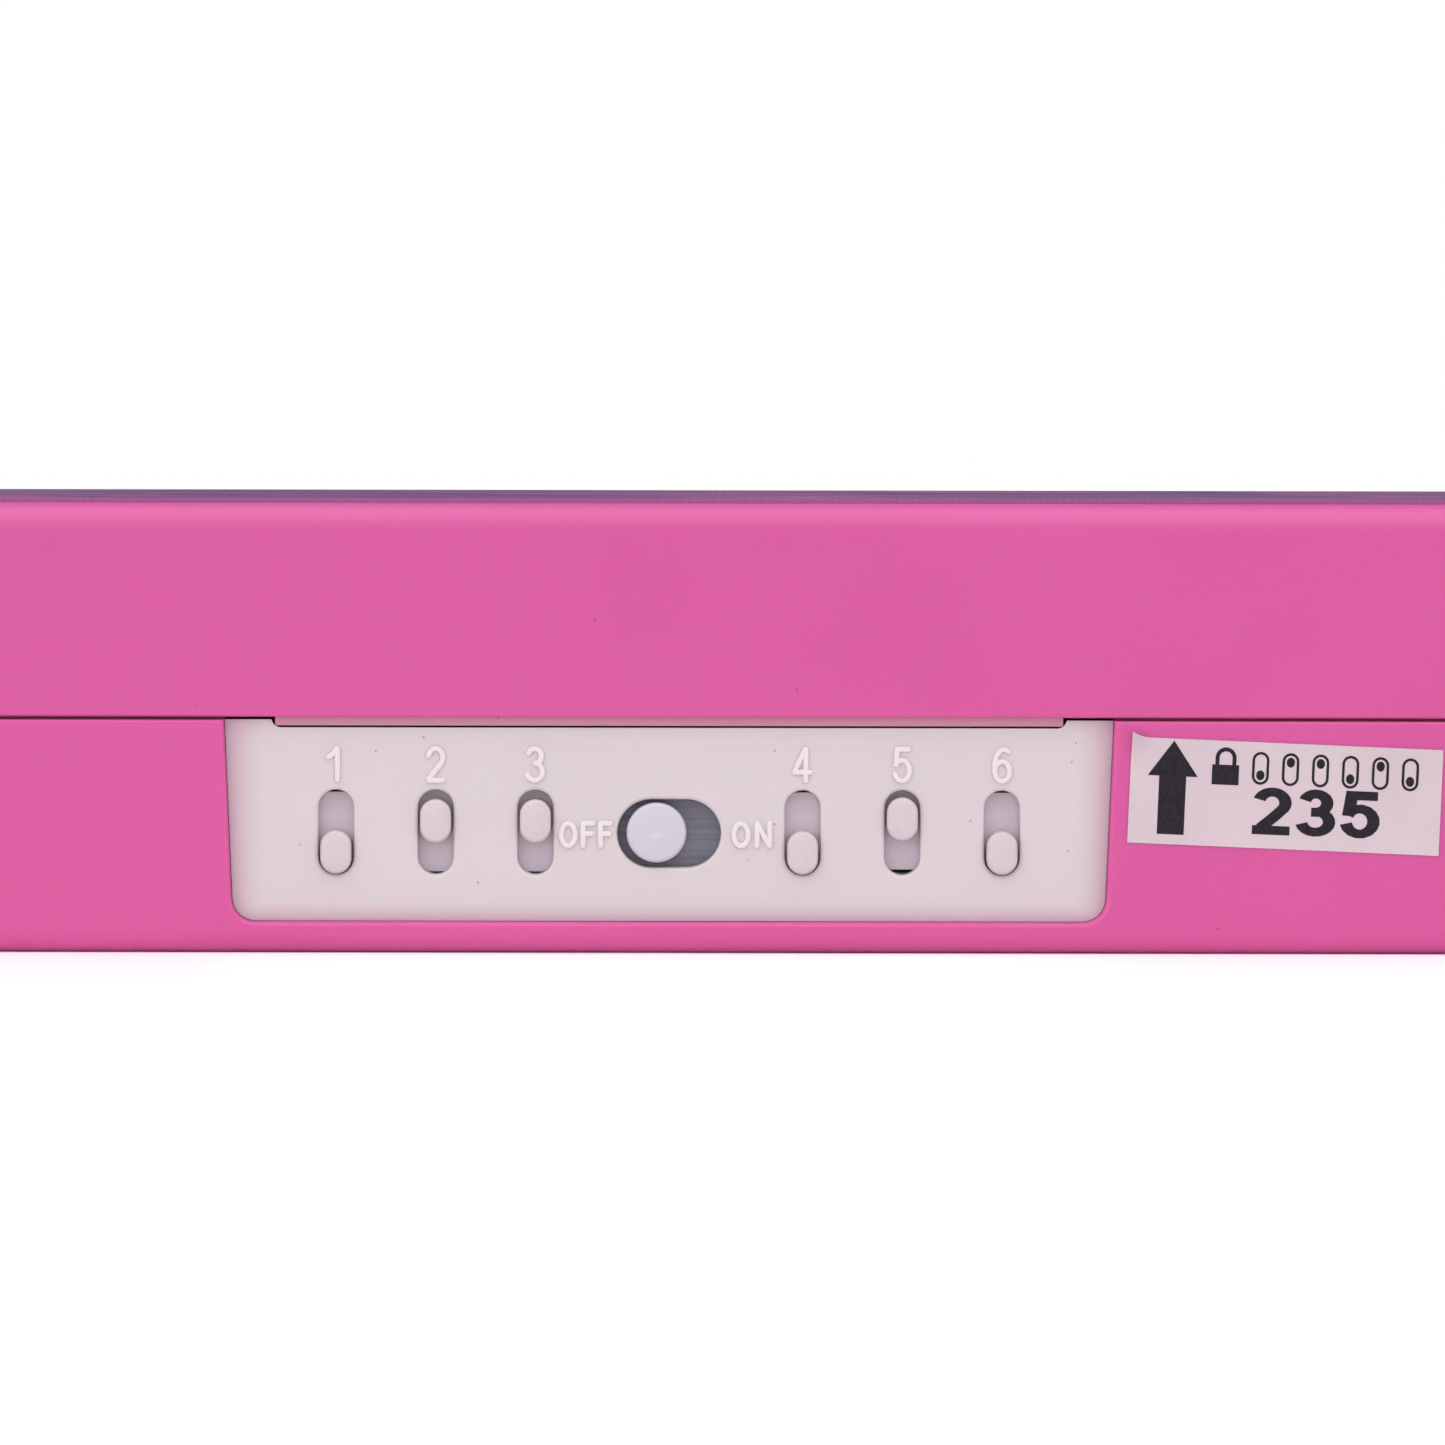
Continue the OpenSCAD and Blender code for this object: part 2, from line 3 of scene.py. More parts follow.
import bmesh
import bpy
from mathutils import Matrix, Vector


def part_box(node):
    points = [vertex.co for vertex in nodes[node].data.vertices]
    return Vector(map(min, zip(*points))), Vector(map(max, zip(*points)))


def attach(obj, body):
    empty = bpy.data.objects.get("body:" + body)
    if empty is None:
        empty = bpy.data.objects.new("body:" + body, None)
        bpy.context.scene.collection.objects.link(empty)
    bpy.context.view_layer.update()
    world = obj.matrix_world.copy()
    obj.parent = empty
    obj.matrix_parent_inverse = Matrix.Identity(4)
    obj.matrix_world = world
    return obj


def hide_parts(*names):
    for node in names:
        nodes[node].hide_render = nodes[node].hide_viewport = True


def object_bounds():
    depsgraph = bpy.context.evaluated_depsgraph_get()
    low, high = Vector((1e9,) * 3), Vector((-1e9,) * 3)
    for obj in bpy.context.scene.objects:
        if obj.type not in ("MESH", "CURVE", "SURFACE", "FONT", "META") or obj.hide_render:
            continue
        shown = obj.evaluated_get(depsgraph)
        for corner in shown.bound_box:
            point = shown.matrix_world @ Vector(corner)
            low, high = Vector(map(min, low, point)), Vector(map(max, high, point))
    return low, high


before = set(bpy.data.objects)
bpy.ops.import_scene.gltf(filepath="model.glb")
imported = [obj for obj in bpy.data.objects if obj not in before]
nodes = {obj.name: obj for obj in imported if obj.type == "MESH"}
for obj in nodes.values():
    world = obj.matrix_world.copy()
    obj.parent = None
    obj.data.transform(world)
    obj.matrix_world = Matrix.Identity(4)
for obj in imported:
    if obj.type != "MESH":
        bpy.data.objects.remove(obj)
cad_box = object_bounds()

# --- Base shell ------------------------------------------------------------------------
# The lower half of the box, an injection moulding in pink ABS, satin outside and a little
# duller inside. It is one piece with the screw bosses and its half of the two hinges.


def from_hex(code):
    """sRGB hex to the linear colour that a shader wants."""
    parts = [int(code[i:i + 2], 16) / 255 for i in (0, 2, 4)]
    linear = [c / 12.92 if c <= 0.04045 else ((c + 0.055) / 1.055) ** 2.4 for c in parts]
    return (*linear, 1.0)


def add_node(finish, kind, inputs=None, **settings):
    """Adds one node to a finish: settings are its properties, inputs are values or sockets to link."""
    made = finish.node_tree.nodes.new(kind)
    for name, value in settings.items():
        setattr(made, name, value)
    for name, value in (inputs or {}).items():
        if isinstance(value, bpy.types.NodeSocket):
            finish.node_tree.links.new(value, made.inputs[name])
        else:
            made.inputs[name].default_value = value
    return made


def start_finish(name):
    """An empty finish, and its coordinates in millimetres fixed to the piece."""
    finish = bpy.data.materials.new(name)
    finish.use_nodes = True
    finish.node_tree.nodes.clear()
    place = add_node(finish, "ShaderNodeTexCoord")
    mm = add_node(finish, "ShaderNodeVectorMath", {0: place.outputs["Object"], 1: (1000, 1000, 1000)},
                  operation="MULTIPLY")
    return finish, mm.outputs[0]


def overlay(finish, face, name, kind, under, inputs, out=0, **settings):
    """Puts one more node before a shader's socket; what fed that socket goes in at under."""
    fed_by = face.inputs[name].links[0].from_socket
    over = add_node(finish, kind, {**inputs, under: fed_by}, **settings)
    finish.node_tree.links.new(over.outputs[out], face.inputs[name])


def dress(piece, finish):
    """Gives a piece its finish, in every slot it has."""
    if not piece.data.materials:
        piece.data.materials.append(finish)
    for i in range(len(piece.data.materials)):
        piece.data.materials[i] = finish


def moulded_plastic(name, body, shade, burnt, rough, grain_mm, grain_depth, specks, handled):
    """Injection-moulded plastic: the tool's fine spark-eroded grain, slow colour drift, rubbed
    patches that are glossier, short hairline scratches and a few burnt granules. Gives the
    finish, its shader and its coordinates in mm."""
    finish, mm = start_finish(name)
    # Colour drifts slowly where the melt cooled unevenly, over about 35 mm.
    drift = add_node(finish, "ShaderNodeTexNoise", {"Vector": mm, "Scale": 1 / 35, "Detail": 2.0})
    tone = add_node(finish, "ShaderNodeMix", {0: drift.outputs["Fac"], 6: from_hex(body),
                                              7: from_hex(shade)}, data_type="RGBA")
    # Burnt granules are specks up to 0.25 mm across, spread through the plastic in cells of 2.5 mm.
    # Most cells hold none, and of the rest only those cut by the surface show.
    granule = add_node(finish, "ShaderNodeTexVoronoi", {"Vector": mm, "Scale": 1 / 2.5})
    small = add_node(finish, "ShaderNodeMath", {0: granule.outputs["Distance"], 1: 0.05},
                     operation="LESS_THAN")
    split = add_node(finish, "ShaderNodeSeparateColor", {0: granule.outputs["Color"]})
    chosen = add_node(finish, "ShaderNodeMath", {0: split.outputs[0], 1: specks}, operation="LESS_THAN")
    speck = add_node(finish, "ShaderNodeMath", {0: small.outputs[0], 1: chosen.outputs[0]},
                     operation="MULTIPLY")
    faint = add_node(finish, "ShaderNodeMath", {0: speck.outputs[0], 1: 0.7}, operation="MULTIPLY")
    specked = add_node(finish, "ShaderNodeMix", {0: faint.outputs[0], 6: tone.outputs[2],
                                                 7: from_hex(burnt)}, data_type="RGBA")
    # Handling marks: hairlines 0.15 mm wide that run for some 12 mm, in places only.
    turned = add_node(finish, "ShaderNodeMapping", {"Vector": mm, "Rotation": (0.4, 0.9, 0.3),
                                                    "Scale": (1 / 12, 1 / 12, 1 / 0.3)})
    hair = add_node(finish, "ShaderNodeTexNoise", {"Vector": turned.outputs[0], "Scale": 1.0,
                                                   "Detail": 1.0})
    lines = add_node(finish, "ShaderNodeMapRange", {0: hair.outputs["Fac"], 1: 0.66, 2: 0.74,
                                                    3: 0.0, 4: 1.0})
    patches = add_node(finish, "ShaderNodeTexNoise", {"Vector": mm, "Scale": 1 / 18, "Detail": 3.0})
    where = add_node(finish, "ShaderNodeMapRange", {0: patches.outputs["Fac"], 1: 0.5, 2: 0.66,
                                                    3: 0.0, 4: 1.0})
    marks = add_node(finish, "ShaderNodeMath", {0: lines.outputs[0], 1: where.outputs[0]},
                     operation="MULTIPLY")
    # Roughness: rubbed patches are smoother, marks are rougher.
    satin = add_node(finish, "ShaderNodeMapRange", {0: patches.outputs["Fac"], 1: 0.3, 2: 0.7,
                                                    3: rough + 0.06, 4: rough - 0.06})
    worn = add_node(finish, "ShaderNodeMath", {0: marks.outputs[0], 1: 0.15 * handled,
                                               2: satin.outputs[0]}, operation="MULTIPLY_ADD")
    # Height: the grain of the tool and a slow ripple from shrinkage over thicker walls.
    grain = add_node(finish, "ShaderNodeTexNoise", {"Vector": mm, "Scale": 1 / grain_mm, "Detail": 4.0,
                                                    "Roughness": 0.6})
    ripple = add_node(finish, "ShaderNodeTexNoise", {"Vector": mm, "Scale": 1 / 9, "Detail": 1.0})
    skin = add_node(finish, "ShaderNodeBump", {"Height": grain.outputs["Fac"], "Strength": 1.0,
                                               "Distance": grain_depth * 0.001})
    sink = add_node(finish, "ShaderNodeBump", {"Height": ripple.outputs["Fac"], "Strength": 1.0,
                                               "Distance": 0.00004, "Normal": skin.outputs[0]})
    scored = add_node(finish, "ShaderNodeBump", {"Height": marks.outputs[0], "Strength": 1.0,
                                                 "Distance": 0.000006 * handled,
                                                 "Normal": sink.outputs[0]},
                      invert=True)
    face = add_node(finish, "ShaderNodeBsdfPrincipled", {
        "Base Color": specked.outputs[2],
        "Roughness": worn.outputs[0], "Normal": scored.outputs[0], "IOR": 1.53})
    add_node(finish, "ShaderNodeOutputMaterial", {"Surface": face.outputs[0]})
    return finish, face, mm


pink_abs, pink_face, pink_mm = moulded_plastic("moulded_pink_abs", body="C64A8F", shade="BD4287",
                                               burnt="7A2452", rough=0.34, grain_mm=0.35,
                                               grain_depth=0.004, specks=0.12, handled=1.0)
pink_face.inputs["Subsurface Weight"].default_value = 0.3
pink_face.inputs["Subsurface Radius"].default_value = (1.0, 0.25, 0.45)
pink_face.inputs["Subsurface Scale"].default_value = 0.0025

# Inside, each shell has faint discs where the pins of the tool pushed it out, 8 mm across, in
# rows on the floor of the base and the underside of the lid's top.
pin_step_x = 48.0
pin_step_y = 46.0
pin_radius = 4.0
floor_z = 2.8
roof_z = 43.1
spread = add_node(pink_abs, "ShaderNodeVectorMath", {0: pink_mm, 1: (1 / pin_step_x, 1 / pin_step_y, 0.0)},
                  operation="MULTIPLY")
cell = add_node(pink_abs, "ShaderNodeVectorMath", {0: spread.outputs[0]}, operation="FRACTION")
centred = add_node(pink_abs, "ShaderNodeVectorMath", {0: cell.outputs[0], 1: (0.5, 0.5, 0.0)},
                   operation="SUBTRACT")
back_mm = add_node(pink_abs, "ShaderNodeVectorMath", {0: centred.outputs[0],
                                                      1: (pin_step_x, pin_step_y, 0.0)},
                   operation="MULTIPLY")
away = add_node(pink_abs, "ShaderNodeVectorMath", {0: back_mm.outputs[0]}, operation="LENGTH")
disc = add_node(pink_abs, "ShaderNodeMapRange", {0: away.outputs["Value"], 1: pin_radius - 0.1,
                                                 2: pin_radius + 0.1, 3: 1.0, 4: 0.0})
height = add_node(pink_abs, "ShaderNodeSeparateXYZ", {0: pink_mm})
on_floor = add_node(pink_abs, "ShaderNodeMath", {0: height.outputs[2], 1: floor_z, 2: 0.05},
                    operation="COMPARE")
on_roof = add_node(pink_abs, "ShaderNodeMath", {0: height.outputs[2], 1: roof_z, 2: 0.05},
                   operation="COMPARE")
inner = add_node(pink_abs, "ShaderNodeMath", {0: on_floor.outputs[0], 1: on_roof.outputs[0]},
                 operation="MAXIMUM")
pin_marks = add_node(pink_abs, "ShaderNodeMath", {0: disc.outputs[0], 1: inner.outputs[0]},
                     operation="MULTIPLY")
overlay(pink_abs, pink_face, "Normal", "ShaderNodeBump", "Normal",
        {"Height": pin_marks.outputs[0], "Strength": 1.0, "Distance": 0.00012}, invert=True)

# Painted light: where the rims and the thin inner lip meet in the gap between the shells,
# 23.4 to 23.7 mm above the table, they are painted redder and brighter, a painted glow that
# stands in for light passing through the thin plastic into the shaded gap.
parting_z = 23.55
gap_painted_glow = add_node(pink_abs, "ShaderNodeMath", {0: height.outputs[2], 1: parting_z, 2: 0.17},
                  operation="COMPARE")
overlay(pink_abs, pink_face, "Base Color", "ShaderNodeMix", 6,
        {0: gap_painted_glow.outputs[0], 7: from_hex("D64A80")}, out=2, data_type="RGBA")
dress(nodes["base_shell"], pink_abs)

# --- Lid shell -------------------------------------------------------------------------
# The upper half, moulded in the same pink ABS, with the coin slot through its top and three
# bosses inside for the strike plate. It swings on the two rear hinges.

dress(nodes["lid_shell"], pink_abs)

# --- Hinge pins ------------------------------------------------------------------------
# Two drawn steel pins, pushed through the rear knuckles from the outside. Drawing leaves fine
# lines along the wire, and the cut head is bright.


def drawn_steel(name, body, rough, grain, along):
    """Plain steel with fine lines left by its tool, along one axis, and dull blotches of oil."""
    finish, mm = start_finish(name)
    stretch = [1 / grain] * 3
    stretch[along] = 1 / 6
    pull = add_node(finish, "ShaderNodeMapping", {"Vector": mm, "Scale": tuple(stretch)})
    lines = add_node(finish, "ShaderNodeTexNoise", {"Vector": pull.outputs[0], "Scale": 1.0,
                                                    "Detail": 3.0})
    oil = add_node(finish, "ShaderNodeTexNoise", {"Vector": mm, "Scale": 1 / 2.5, "Detail": 2.0})
    dull = add_node(finish, "ShaderNodeMapRange", {0: oil.outputs["Fac"], 1: 0.35, 2: 0.65,
                                                   3: rough - 0.06, 4: rough + 0.12})
    score = add_node(finish, "ShaderNodeBump", {"Height": lines.outputs["Fac"], "Strength": 1.0,
                                                "Distance": 0.000005})
    tint = add_node(finish, "ShaderNodeMath", {0: lines.outputs["Fac"], 1: 0.16, 2: -0.08},
                    operation="MULTIPLY_ADD")
    shade = add_node(finish, "ShaderNodeBrightContrast", {0: from_hex(body), 1: tint.outputs[0]})
    face = add_node(finish, "ShaderNodeBsdfPrincipled", {
        "Base Color": shade.outputs[0], "Metallic": 1.0, "Roughness": dull.outputs[0],
        "Normal": score.outputs[0]})
    add_node(finish, "ShaderNodeOutputMaterial", {"Surface": face.outputs[0]})
    return finish


pin_steel = drawn_steel("drawn_steel_wire", body="B9B8BC", rough=0.28, grain=0.12, along=0)
dress(nodes["hinge_pin_left"], pin_steel)
dress(nodes["hinge_pin_right"], pin_steel)

# --- Cover sheet -----------------------------------------------------------------------
# A sheet of lenticular PET stuck into the lid's top: a night-sky print under rows of fine
# cylindrical lenses. The lenses break up reflections across them, and flecks seem to float.

sheet_pet, mm = start_finish("lenticular_pet_sheet")
# The print: clouds of violet, plum and rose over about 45 mm.
cloud = add_node(sheet_pet, "ShaderNodeTexNoise", {"Vector": mm, "Scale": 1 / 45, "Detail": 6.0,
                                                   "Roughness": 0.55, "Distortion": 1.2})
sky = add_node(sheet_pet, "ShaderNodeValToRGB", {0: cloud.outputs["Fac"]})
sky.color_ramp.elements[0].position = 0.28
sky.color_ramp.elements[0].color = from_hex("603A78")
sky.color_ramp.elements[1].position = 0.78
sky.color_ramp.elements[1].color = from_hex("CB7DB6")
for position, code in ((0.42, "7A4488"), (0.55, "96528E"), (0.66, "A65C98")):
    sky.color_ramp.elements.new(position).color = from_hex(code)
# Flecks like foil glitter, 0.5 mm across on a 2.6 mm spread, a few of them large: mostly pale
# pink in the print, and some painted blue, orange or green as painted glints of coloured light.
fleck = add_node(sheet_pet, "ShaderNodeTexVoronoi", {"Vector": mm, "Scale": 1 / 2.6})
fleck_size = add_node(sheet_pet, "ShaderNodeSeparateColor", {0: fleck.outputs["Color"]})
reach = add_node(sheet_pet, "ShaderNodeMapRange", {0: fleck_size.outputs[0], 1: 0.45, 2: 1.0,
                                                   3: 0.0, 4: 0.13})
inside = add_node(sheet_pet, "ShaderNodeMath", {0: fleck.outputs["Distance"], 1: reach.outputs[0]},
                  operation="LESS_THAN")
fleck_and_glint_tint = add_node(sheet_pet, "ShaderNodeValToRGB", {0: fleck_size.outputs[1]})
fleck_and_glint_tint.color_ramp.interpolation = "CONSTANT"
fleck_and_glint_tint.color_ramp.elements[0].color = from_hex("F0D8EE")
fleck_and_glint_tint.color_ramp.elements[1].position = 0.85
fleck_and_glint_tint.color_ramp.elements[1].color = from_hex("B9D8C4")
fleck_and_glint_tint.color_ramp.elements.new(0.55).color = from_hex("A9B4EE")
fleck_and_glint_tint.color_ramp.elements.new(0.72).color = from_hex("F2B58E")
tinted = add_node(sheet_pet, "ShaderNodeMix", {0: inside.outputs[0], 6: sky.outputs[0],
                                               7: fleck_and_glint_tint.outputs[0]}, data_type="RGBA")
# The lenses: real ones are 0.34 mm apart, drawn 0.8 mm apart so that they show at arm's length.
lens_mm = 0.8
across = add_node(sheet_pet, "ShaderNodeSeparateXYZ", {0: mm})
turn = add_node(sheet_pet, "ShaderNodeMath", {0: across.outputs[0], 1: 2 * math.pi / lens_mm},
                operation="MULTIPLY")
wave = add_node(sheet_pet, "ShaderNodeMath", {0: turn.outputs[0]}, operation="SINE")
ribs = add_node(sheet_pet, "ShaderNodeBump", {"Height": wave.outputs[0], "Strength": 0.6,
                                              "Distance": 0.00004})
# Painted shade: the print is darkened down to 0.74 in the grooves between the lenses.
groove_painted_shade = add_node(sheet_pet, "ShaderNodeMapRange", {0: wave.outputs[0], 1: -1.0, 2: -0.4, 3: 0.74,
                                                    4: 1.0})
print_with_groove_shade = add_node(sheet_pet, "ShaderNodeVectorMath", {0: tinted.outputs[2], 1: groove_painted_shade.outputs[0]},
                 operation="MULTIPLY")
# The cut edge of the sheet is lightly frosted, and shows violet to plum from the print beneath.
edge = add_node(sheet_pet, "ShaderNodeMath", {0: across.outputs[2], 1: cad_box[1].z * 1000 - 0.03},
                operation="LESS_THAN")
edge_drift = add_node(sheet_pet, "ShaderNodeTexNoise", {"Vector": mm, "Scale": 1 / 25, "Detail": 2.0})
edge_tint = add_node(sheet_pet, "ShaderNodeMix", {0: edge_drift.outputs["Fac"], 6: from_hex("84488C"),
                                                  7: from_hex("A2507E")}, data_type="RGBA")
edged = add_node(sheet_pet, "ShaderNodeMix", {0: edge.outputs[0], 6: print_with_groove_shade.outputs[0],
                                              7: edge_tint.outputs[2]}, data_type="RGBA")
smear = add_node(sheet_pet, "ShaderNodeTexNoise", {"Vector": mm, "Scale": 1 / 14, "Detail": 3.0})
sheen = add_node(sheet_pet, "ShaderNodeMapRange", {0: smear.outputs["Fac"], 1: 0.3, 2: 0.7,
                                                   3: 0.2, 4: 0.36})
sheet_face = add_node(sheet_pet, "ShaderNodeBsdfPrincipled", {
    "Base Color": edged.outputs[2], "Roughness": sheen.outputs[0], "Normal": ribs.outputs[0],
    "IOR": 1.57, "Specular IOR Level": 0.3, "Coat Weight": 0.1, "Coat Roughness": 0.14})
add_node(sheet_pet, "ShaderNodeOutputMaterial", {"Surface": sheet_face.outputs[0]})
dress(nodes["cover_sheet"], sheet_pet)

# --- Lock face -------------------------------------------------------------------------
# The white front plate of the code lock, injection-moulded in high-impact polystyrene and
# set into the base's front opening. Its surface is satin with a soft, milky depth.

white_hips, white_face, face_mm = moulded_plastic("moulded_white_polystyrene", body="C5BBBD",
                                                  shade="C1B6B9", burnt="7C6C70", rough=0.4,
                                                  grain_mm=0.4, grain_depth=0.003, specks=0.35,
                                                  handled=0.6)
white_face.inputs["Subsurface Weight"].default_value = 0.2
white_face.inputs["Subsurface Radius"].default_value = (1.0, 0.8, 0.85)
white_face.inputs["Subsurface Scale"].default_value = 0.001

# Round its rim, over about 3 mm, the face is painted a darker pink-grey: painted shade and
# painted pink light bounced from the shell it sits in.
face_axes = add_node(white_hips, "ShaderNodeSeparateXYZ", {0: face_mm})
from_middle = add_node(white_hips, "ShaderNodeMath", {0: face_axes.outputs[0]}, operation="ABSOLUTE")
at_side = add_node(white_hips, "ShaderNodeMapRange", {0: from_middle.outputs[0], 1: 40.5, 2: 44.5},
                   interpolation_type="SMOOTHSTEP")
at_foot = add_node(white_hips, "ShaderNodeMapRange", {0: face_axes.outputs[2], 1: 5.2, 2: 3.0},
                   interpolation_type="SMOOTHSTEP")
at_rim = add_node(white_hips, "ShaderNodeMath", {0: at_side.outputs[0], 1: at_foot.outputs[0]},
                  operation="MAXIMUM")
rim_painted_shade_and_bounce = add_node(white_hips, "ShaderNodeMath", {0: at_rim.outputs[0], 1: 0.75}, operation="MULTIPLY")
overlay(white_hips, white_face, "Base Color", "ShaderNodeMix", 6,
        {0: rim_painted_shade_and_bounce.outputs[0], 7: from_hex("B795A6")}, out=2, data_type="RGBA")
dress(nodes["lock_face"], white_hips)

# --- Raised marks ----------------------------------------------------------------------
# Numbers over the six slots and the two words beside the button, raised on the same moulding
# as flat strokes with round shoulders. Their tops are a lighter white than the face, a little
# glossier and with fewer specks.

lighter_marks_hips = moulded_plastic("lighter_raised_marks", body="D4CACC", shade="CFC5C7", burnt="7C6C70",
                              rough=0.3, grain_mm=0.3, grain_depth=0.002, specks=0.04, handled=0.2)[0]
face_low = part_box("lock_face")[0]
slider_boxes = [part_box("code_slider_%d" % (i + 1)) for i in range(6)]
slot_x = [(low.x + high.x) * 500 for low, high in slider_boxes]
numeral_z = 17.3
numeral_h = 3.2
numeral_w = 1.6
word_z = 10.75
word_h = 2.25
mark_w = 0.56
mark_proud = 0.25
mark_sunk = 0.1


def sweep(cx, cz, rx, rz, start, end, steps=14):
    """Points on part of an ellipse, from one angle to another in degrees."""
    turns = [math.radians(start + (end - start) * i / steps) for i in range(steps + 1)]
    return [(cx + rx * math.cos(t), cz + rz * math.sin(t)) for t in turns]


# Each character is a list of strokes in a box 1 wide and 1 high.
characters = {
    "1": [[(0.02, 0.72), (0.3, 0.82), (0.56, 0.99)], [(0.6, 1.0), (0.6, 0.0)]],
    "2": [sweep(0.5, 0.72, 0.45, 0.28, 172, -32) + [(0.1, 0.06)], [(0.04, 0.0), (0.97, 0.0)]],
    "3": [sweep(0.46, 0.76, 0.42, 0.24, 160, -90), sweep(0.46, 0.27, 0.49, 0.27, 90, -160)],
    "4": [[(0.66, 1.0), (0.0, 0.3)], [(0.0, 0.27), (1.0, 0.27)], [(0.7, 1.0), (0.7, 0.0)]],
    "5": [[(0.2, 1.0), (0.9, 1.0)], [(0.18, 1.0), (0.1, 0.5)], sweep(0.47, 0.33, 0.48, 0.33, 148, -160)],
    "6": [sweep(0.5, 0.31, 0.47, 0.31, 0, 360, 24), sweep(0.62, 0.42, 0.6, 0.58, 176, 62)],
    "O": [sweep(0.5, 0.5, 0.5, 0.5, 0, 360, 24)],
    "F": [[(0.08, 1.0), (0.08, 0.0)], [(0.08, 1.0), (0.95, 1.0)], [(0.08, 0.54), (0.85, 0.54)]],
    "N": [[(0.06, 1.0), (0.06, 0.0)], [(0.1, 1.0), (0.9, 0.0)], [(0.94, 1.0), (0.94, 0.0)]],
}


def raise_stroke(mesh, points, section, place, soft_ends):
    """Runs a section along a line of points. The section is (across, out) in mm, and place turns
    (across, up, out) in mm into a point on the surface. Soft ends taper the last half width."""
    closed = math.dist(points[0], points[-1]) < 1e-6
    run = points[:-1] if closed else points
    half = max(across for across, out in section)
    stations = []
    for i, point in enumerate(run):
        before = run[i - 1] if closed or i else point
        after = run[(i + 1) % len(run)] if closed or i < len(run) - 1 else point
        ahead = Vector((after[0] - before[0], after[1] - before[1])).normalized()
        stations.append((Vector(point), ahead, 1.0))
    if soft_ends and not closed:
        first, last = stations[0], stations[-1]
        heads = [(first[0] - first[1] * half * math.sin(t), first[1], math.cos(t)) for t in (1.35, 1.0, 0.5)]
        tails = [(last[0] + last[1] * half * math.sin(t), last[1], math.cos(t)) for t in (0.5, 1.0, 1.35)]
        stations = heads + stations + tails
    rings = []
    for centre, ahead, scale in stations:
        side = Vector((ahead.y, -ahead.x))
        ring = []
        for across, out in section:
            at = centre + side * across * scale
            ring.append(mesh.verts.new(place(at.x, at.y, out * scale if out > 0 else out)))
        rings.append(ring)
    pairs = list(zip(rings, rings[1:])) + ([(rings[-1], rings[0])] if closed else [])
    for one, other in pairs:
        for k in range(len(section)):
            n = (k + 1) % len(section)
            mesh.faces.new((one[k], one[n], other[n], other[k]))
    if not closed:
        mesh.faces.new(list(reversed(rings[0])))
        mesh.faces.new(rings[-1])


def soft_top(width, proud, sunk):
    """The section of a raised mark: a flat top with round shoulders, and sides that go below the face."""
    arch = []
    for turn in range(0, 181, 15):
        across, up = math.cos(math.radians(turn)), math.sin(math.radians(turn))
        arch.append((width / 2 * math.copysign(abs(across) ** 0.55, across), proud * up ** 0.55))
    return arch + [(-width / 2, -sunk), (width / 2, -sunk)]


def finish_piece(name, mesh, body, finish, smooth):
    """Turns mesh work into an object with its faces outward, which rides on a body."""
    bmesh.ops.recalc_face_normals(mesh, faces=mesh.faces)
    data = bpy.data.meshes.new(name)
    mesh.to_mesh(data)
    mesh.free()
    piece = bpy.data.objects.new(name, data)
    bpy.context.scene.collection.objects.link(piece)
    for side in data.polygons:
        side.use_smooth = smooth
    data.set_sharp_from_angle(angle=math.radians(50))
    dress(piece, finish)
    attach(piece, body)
    return piece


def spell(mesh, text, left, foot, width, height, step, section, place, soft_ends):
    """Writes characters side by side from a lower left corner, all in mm."""
    for i, letter in enumerate(text):
        for line in characters[letter]:
            moved = [(left + i * step + x * width, foot + z * height) for x, z in line]
            raise_stroke(mesh, moved, section, place, soft_ends)


def on_face(x, z, out):
    """A point on the lock's face, from mm across, up and out."""
    return (x * 0.001, face_low.y - out * 0.001, z * 0.001)


mark_section = soft_top(mark_w, mark_proud, mark_sunk)
numerals = bmesh.new()
for i, x in enumerate(slot_x):
    spell(numerals, str(i + 1), x - numeral_w / 2, numeral_z, numeral_w, numeral_h, 0, mark_section,
          on_face, True)
slot_numbers = finish_piece("slot_numbers", numerals, "base", lighter_marks_hips, True)

words = bmesh.new()
for text, left, letter_w, letter_step in (("O", -10.8, 1.4, 0), ("FF", -8.7, 1.15, 1.75),
                                          ("ON", 6.5, 1.45, 2.25)):
    spell(words, text, left, word_z, letter_w, word_h, letter_step, mark_section, on_face, True)
button_words = finish_piece("button_words", words, "base", lighter_marks_hips, True)

# --- Code sliders ----------------------------------------------------------------------
# Six small mouldings of the same white polystyrene, each a knob on a plate that runs behind
# the face. Fingers have polished the knobs, so they are glossier and cleaner than the face.

slider_hips, slider_face, slider_mm = moulded_plastic("rubbed_knobs_painted_plate_shade", body="C2B5B8",
                                                      shade="BEB1B5", burnt="7C6C70", rough=0.3,
                                                      grain_mm=0.3, grain_depth=0.002, specks=0.04,
                                                      handled=0.1)
slider_face.inputs["Subsurface Weight"].default_value = 0.2
slider_face.inputs["Subsurface Radius"].default_value = (1.0, 0.8, 0.85)
slider_face.inputs["Subsurface Scale"].default_value = 0.0008

# The plate, seen only through the shaded slots, is painted a lighter, cooler lavender white than
# the knobs: a painted shade tint for the slot floors. It starts 3 mm back from the knob's front.
slider_axes = add_node(slider_hips, "ShaderNodeSeparateXYZ", {0: slider_mm})
plate_y = slider_boxes[0][0].y * 1000 + 3.0
behind = add_node(slider_hips, "ShaderNodeMath", {0: slider_axes.outputs[1], 1: plate_y},
                  operation="GREATER_THAN")
overlay(slider_hips, slider_face, "Base Color", "ShaderNodeMix", 6,
        {0: behind.outputs[0], 7: from_hex("CFC2CD")}, out=2, data_type="RGBA")
for i in range(6):
    dress(nodes["code_slider_%d" % (i + 1)], slider_hips)

# --- Latch bar -------------------------------------------------------------------------
# The bar that the button pushes, moulded in slate-grey acetal so that it slides without
# grease. It is waxy and half dull, with long rub lines where it runs in its guides.

